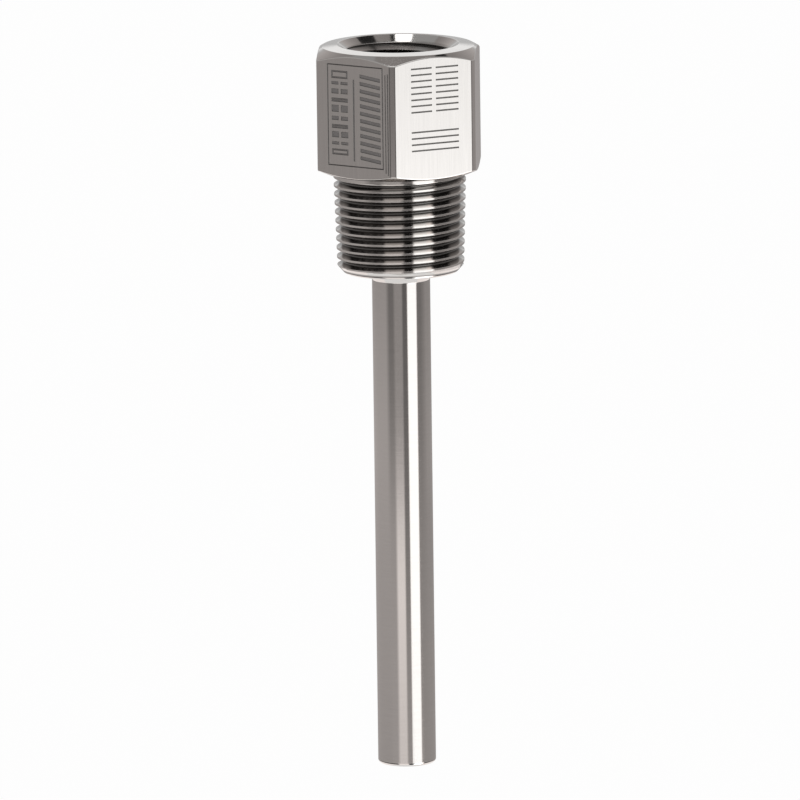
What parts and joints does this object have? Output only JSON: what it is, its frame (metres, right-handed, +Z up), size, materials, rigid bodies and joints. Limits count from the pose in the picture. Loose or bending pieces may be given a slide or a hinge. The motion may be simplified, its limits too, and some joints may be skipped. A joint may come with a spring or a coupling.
{
  "type": "threaded thermowell",
  "caption": "Stainless steel thermowell: hexagon head with a female thread, tapered male pipe thread and a long closed stem with a blind bore for a temperature probe.",
  "frame": {"origin": "on the axis, in the underside of the hexagon where the male thread starts", "axes": "+Z up the axis, out of the mouth of the head; a corner of the hexagon points along -Y"},
  "size_m": [0.0318, 0.036, 0.1471],
  "materials": {
    "stainless": "polished"
  },
  "bodies": {
    "root": {"thermowell": "stainless"}
  },
  "joints": []
}
